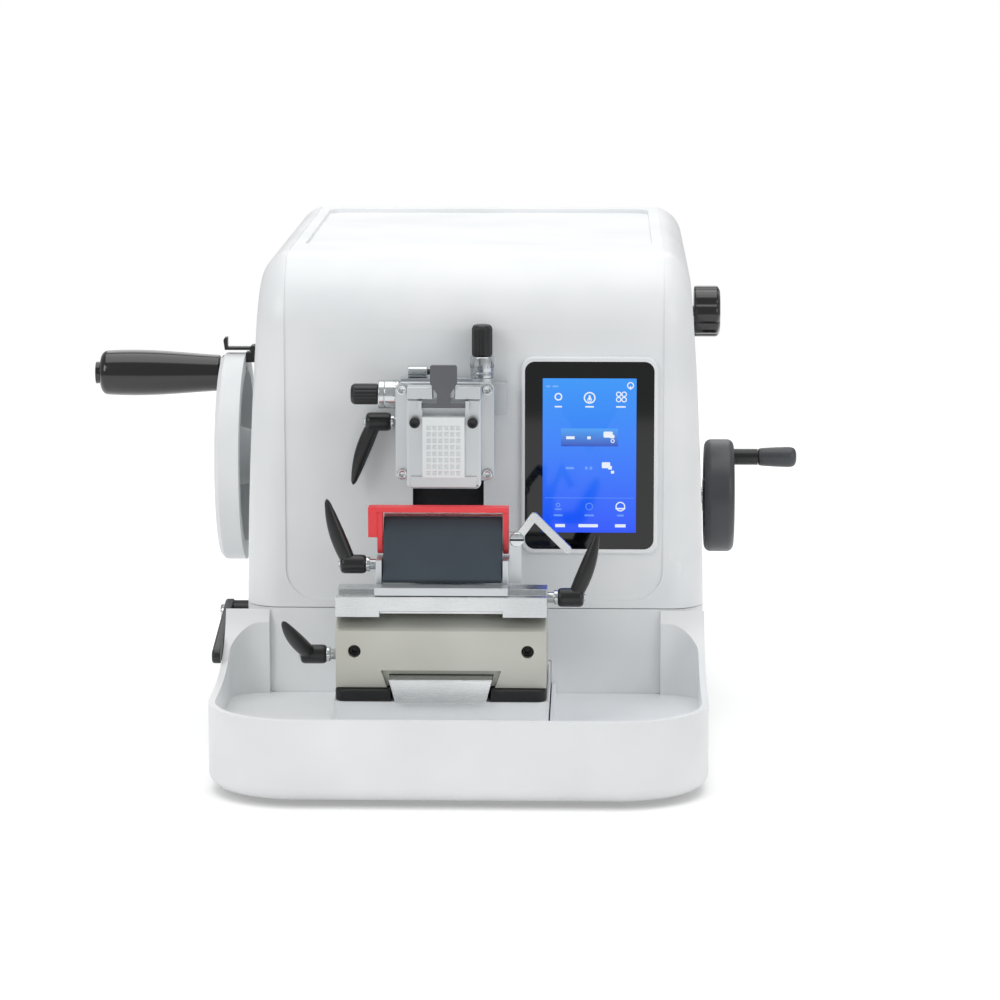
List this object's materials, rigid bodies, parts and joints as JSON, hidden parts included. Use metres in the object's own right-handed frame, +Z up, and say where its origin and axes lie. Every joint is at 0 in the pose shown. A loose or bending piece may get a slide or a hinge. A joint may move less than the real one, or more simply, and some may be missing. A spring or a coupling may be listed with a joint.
{
  "type": "rotary microtome",
  "caption": "White rotary microtome with a left handwheel, touch screen, cassette clamp and red-guarded blade holder over a wide waste tray",
  "frame": {"origin": "on the bench, under the middle of the whole machine", "axes": "+Z up, +X right seen from the operator's side, +Y to the back, away from the operator"},
  "size_m": [0.5119, 0.6154, 0.3424],
  "materials": {
    "painted_white": "satin",
    "moulded_white": "satin",
    "moulded_grey": "satin",
    "black_plastic": "satin",
    "gloss_black": "gloss",
    "dark_grey_plastic": "satin",
    "screen_glass": "gloss",
    "display": "satin",
    "bare_steel": "satin",
    "ground_steel": "satin",
    "black_steel": "satin",
    "anodised_champagne": "satin",
    "satin_aluminium": "satin",
    "slate_steel": "satin",
    "guard_red": "satin",
    "cast_base": "satin",
    "rubber": "matte",
    "cassette_white": "satin"
  },
  "bodies": {
    "machine": {"base_casting": "cast_base", "lower_housing": "painted_white", "feet": "rubber", "housing_cover": "moulded_white", "rear_cover": "painted_white", "screen_bezel": "moulded_white", "screen_glass": "screen_glass", "display_module": "display", "machine_frame": "satin_aluminium", "guide_rails": "ground_steel", "shaft_bearings": "bare_steel", "power_inlet": "black_plastic", "holder_plate": "black_steel", "holder_rail": "ground_steel", "lock_block": "black_plastic"},
    "tray": {"waste_tray": "moulded_white"},
    "main_wheel": {"handwheel": "painted_white", "main_shaft": "bare_steel", "crank_disc": "bare_steel", "crank_grip_bolt": "bare_steel"},
    "main_grip": {"crank_grip": "gloss_black"},
    "wheel_lock": {"wheel_lock_lever": "black_plastic"},
    "brake": {"brake_lever": "gloss_black"},
    "knob_right": {"side_knob": "gloss_black"},
    "rocker": {"power_rocker": "black_plastic"},
    "coarse_drive": {"coarse_wheel": "dark_grey_plastic", "coarse_shaft": "bare_steel", "coarse_grip_pin": "bare_steel"},
    "coarse_handle": {"coarse_grip": "dark_grey_plastic"},
    "carriage": {"vertical_carriage": "satin_aluminium", "slot_shutter": "black_steel", "crank_yoke": "bare_steel", "feed_motor": "black_steel"},
    "feed_spindle": {"feed_screw": "ground_steel"},
    "feed_head": {"feed_cylinder": "ground_steel", "head_base": "satin_aluminium", "pitch_collar": "bare_steel"},
    "gimbal": {"gimbal_cross": "satin_aluminium", "yaw_collar": "bare_steel"},
    "specimen_clamp": {"tilt_plate": "satin_aluminium", "clamp_body": "satin_aluminium", "head_screws": "black_steel", "cassette": "cassette_white"},
    "pitch_adjuster": {"pitch_knob": "black_plastic"},
    "yaw_adjuster": {"yaw_knob": "black_plastic"},
    "paddle": {"cassette_lever": "moulded_grey"},
    "jaw": {"upper_jaw": "satin_aluminium"},
    "head_clamp_lever": {"head_lever": "gloss_black"},
    "holder": {"holder_base": "anodised_champagne", "cross_rail": "ground_steel"},
    "holder_clamp_lever": {"holder_lever": "gloss_black"},
    "lateral_clamp_lever": {"lateral_lever": "gloss_black"},
    "lateral": {"lateral_carriage": "bare_steel", "arm_bracket": "bare_steel"},
    "blade_clamp_lever": {"blade_lever": "gloss_black"},
    "carrier": {"blade_carrier": "bare_steel", "blade": "ground_steel"},
    "plate": {"pressure_plate": "slate_steel"},
    "guard": {"finger_guard": "guard_red"},
    "arm": {"side_arm": "ground_steel"}
  },
  "joints": [
    {"name": "tray_slide", "type": "slide", "parent": "machine", "child": "tray", "axis": [0, -1, 0], "range_m": [0, 0.15]},
    {"name": "handwheel_turn", "type": "hinge", "parent": "machine", "child": "main_wheel", "pos_m": [-0.154, 0.035, 0.181], "axis": [1, 0, 0], "continuous": true},
    {"name": "crank_grip_turn", "type": "hinge", "parent": "main_wheel", "child": "main_grip", "pos_m": [-0.204, 0.035, 0.242], "axis": [1, 0, 0], "continuous": true},
    {"name": "wheel_lock_turn", "type": "hinge", "parent": "machine", "child": "wheel_lock", "pos_m": [-0.1399, 0.035, 0.2604], "axis": [0, 1, 0], "range_deg": [0, 40]},
    {"name": "brake_turn", "type": "hinge", "parent": "machine", "child": "brake", "pos_m": [-0.142, -0.053, 0.082], "axis": [1, 0, 0], "range_deg": [-35, 0]},
    {"name": "side_knob_turn", "type": "hinge", "parent": "machine", "child": "knob_right", "pos_m": [0.186, 0.035, 0.2885], "axis": [1, 0, 0], "continuous": true},
    {"name": "rocker_turn", "type": "hinge", "parent": "machine", "child": "rocker", "pos_m": [-0.094, 0.3045, 0.069], "axis": [1, 0, 0], "range_deg": [-8, 8]},
    {"name": "coarse_wheel_turn", "type": "hinge", "parent": "machine", "child": "coarse_drive", "pos_m": [0.196, 0.035, 0.153], "axis": [1, 0, 0], "continuous": true},
    {"name": "coarse_grip_turn", "type": "hinge", "parent": "coarse_drive", "child": "coarse_handle", "pos_m": [0.241, 0.035, 0.1815], "axis": [1, 0, 0], "continuous": true},
    {"name": "carriage_stroke", "type": "slide", "parent": "machine", "child": "carriage", "axis": [0, 0, 1], "range_m": [-0.07, 0]},
    {"name": "feed_screw_turn", "type": "hinge", "parent": "carriage", "child": "feed_spindle", "pos_m": [0.008, -0.02, 0.23], "axis": [0, 1, 0], "range_deg": [0, 5041]},
    {"name": "specimen_feed", "type": "slide", "parent": "carriage", "child": "feed_head", "axis": [0, -1, 0], "range_m": [0, 0.028]},
    {"name": "head_pitch", "type": "hinge", "parent": "feed_head", "child": "gimbal", "pos_m": [0.008, -0.141, 0.23], "axis": [1, 0, 0], "range_deg": [-8, 8]},
    {"name": "head_yaw", "type": "hinge", "parent": "gimbal", "child": "specimen_clamp", "pos_m": [0.008, -0.153, 0.23], "axis": [0, 0, 1], "range_deg": [-8, 8]},
    {"name": "pitch_knob_turn", "type": "hinge", "parent": "feed_head", "child": "pitch_adjuster", "pos_m": [0.032, -0.1255, 0.285], "axis": [0, 0, 1], "range_deg": [-720, 720]},
    {"name": "yaw_knob_turn", "type": "hinge", "parent": "gimbal", "child": "yaw_adjuster", "pos_m": [-0.047, -0.145, 0.252], "axis": [1, 0, 0], "range_deg": [-720, 720]},
    {"name": "cassette_lever_turn", "type": "hinge", "parent": "specimen_clamp", "child": "paddle", "pos_m": [0.008, -0.1898, 0.2505], "axis": [1, 0, 0], "range_deg": [0, 40]},
    {"name": "upper_jaw_lift", "type": "slide", "parent": "specimen_clamp", "child": "jaw", "axis": [0, 0, 1], "range_m": [0, 0.004]},
    {"name": "head_lever_turn", "type": "hinge", "parent": "feed_head", "child": "head_clamp_lever", "pos_m": [-0.037, -0.125, 0.23], "axis": [1, 0, 0], "range_deg": [-60, 0]},
    {"name": "holder_slide", "type": "slide", "parent": "machine", "child": "holder", "axis": [0, 1, 0], "range_m": [-0.025, 0.01]},
    {"name": "holder_lever_turn", "type": "hinge", "parent": "holder", "child": "holder_clamp_lever", "pos_m": [-0.072, -0.23, 0.088], "axis": [1, 0, 0], "range_deg": [-50, 0]},
    {"name": "lateral_lever_turn", "type": "hinge", "parent": "holder", "child": "lateral_clamp_lever", "pos_m": [0.093, -0.21, 0.1235], "axis": [1, 0, 0], "range_deg": [0, 60]},
    {"name": "lateral_shift", "type": "slide", "parent": "holder", "child": "lateral", "axis": [1, 0, 0], "range_m": [-0.02, 0.02]},
    {"name": "blade_lever_turn", "type": "hinge", "parent": "lateral", "child": "blade_clamp_lever", "pos_m": [-0.052, -0.21, 0.1457], "axis": [1, 0, 0], "range_deg": [0, 60]},
    {"name": "blade_angle", "type": "hinge", "parent": "lateral", "child": "carrier", "pos_m": [0.008, -0.195, 0.1785], "axis": [1, 0, 0], "range_deg": [-5, 5]},
    {"name": "pressure_plate_turn", "type": "hinge", "parent": "carrier", "child": "plate", "pos_m": [0.008, -0.22149, 0.13722], "axis": [1, 0, 0], "range_deg": [0, 5]},
    {"name": "finger_guard_turn", "type": "hinge", "parent": "carrier", "child": "guard", "pos_m": [0.008, -0.203, 0.156], "axis": [1, 0, 0], "range_deg": [0, 70]},
    {"name": "side_arm_turn", "type": "hinge", "parent": "lateral", "child": "arm", "pos_m": [0.058, -0.218, 0.1645], "axis": [0, 1, 0], "range_deg": [0, 40]}
  ],
  "couplings": [
    {"joint": "feed_screw_turn", "follows": "specimen_feed", "rad_per_m": 3141.6},
    {"joint": "pitch_knob_turn", "follows": "head_pitch", "ratio": 90},
    {"joint": "yaw_knob_turn", "follows": "head_yaw", "ratio": 90},
    {"joint": "cassette_lever_turn", "follows": "upper_jaw_lift", "rad_per_m": 174.53}
  ]
}
